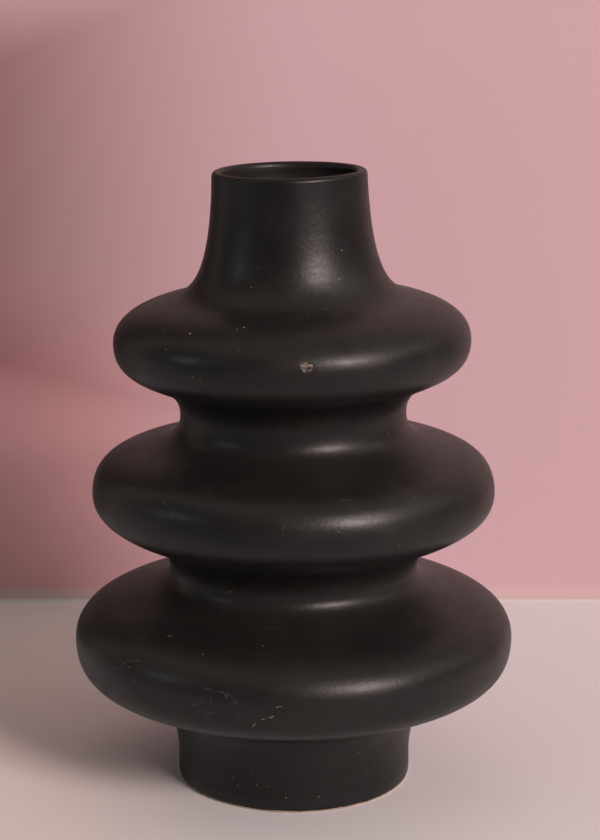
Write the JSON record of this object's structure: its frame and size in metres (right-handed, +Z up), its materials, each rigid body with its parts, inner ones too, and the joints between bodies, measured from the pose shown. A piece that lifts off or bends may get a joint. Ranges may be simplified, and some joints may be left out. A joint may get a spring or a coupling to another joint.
{
  "type": "black clay pot",
  "caption": "Tall satin black clay pot: short foot, stacked ring-shaped bulges that shrink upwards, bell-shaped neck, open mouth.",
  "frame": {"origin": "middle of the foot, on the surface the pot stands on", "axes": "+Z up, along the pot's axis towards the mouth; the neck leans slightly towards -X; -Y is the front"},
  "size_m": [0.25, 0.25, 0.3508],
  "materials": {
    "black_glazed_clay": "satin black, smooth, with fine turning marks and small chips",
    "bare_clay": "unglazed pale tan clay, fine grained and matte",
    "slip": "black, slightly rougher than the walls"
  },
  "bodies": {
    "root": {"base_floor": "bare_clay", "floor_slip": "slip", "foot_wall": "black_glazed_clay", "foot_slip": "slip", "lower_bulb": "black_glazed_clay", "lower_waist_slip": "slip", "middle_bulb": "black_glazed_clay", "upper_waist_slip": "slip", "upper_bulb": "black_glazed_clay", "neck_slip": "slip", "neck": "black_glazed_clay"}
  },
  "joints": []
}
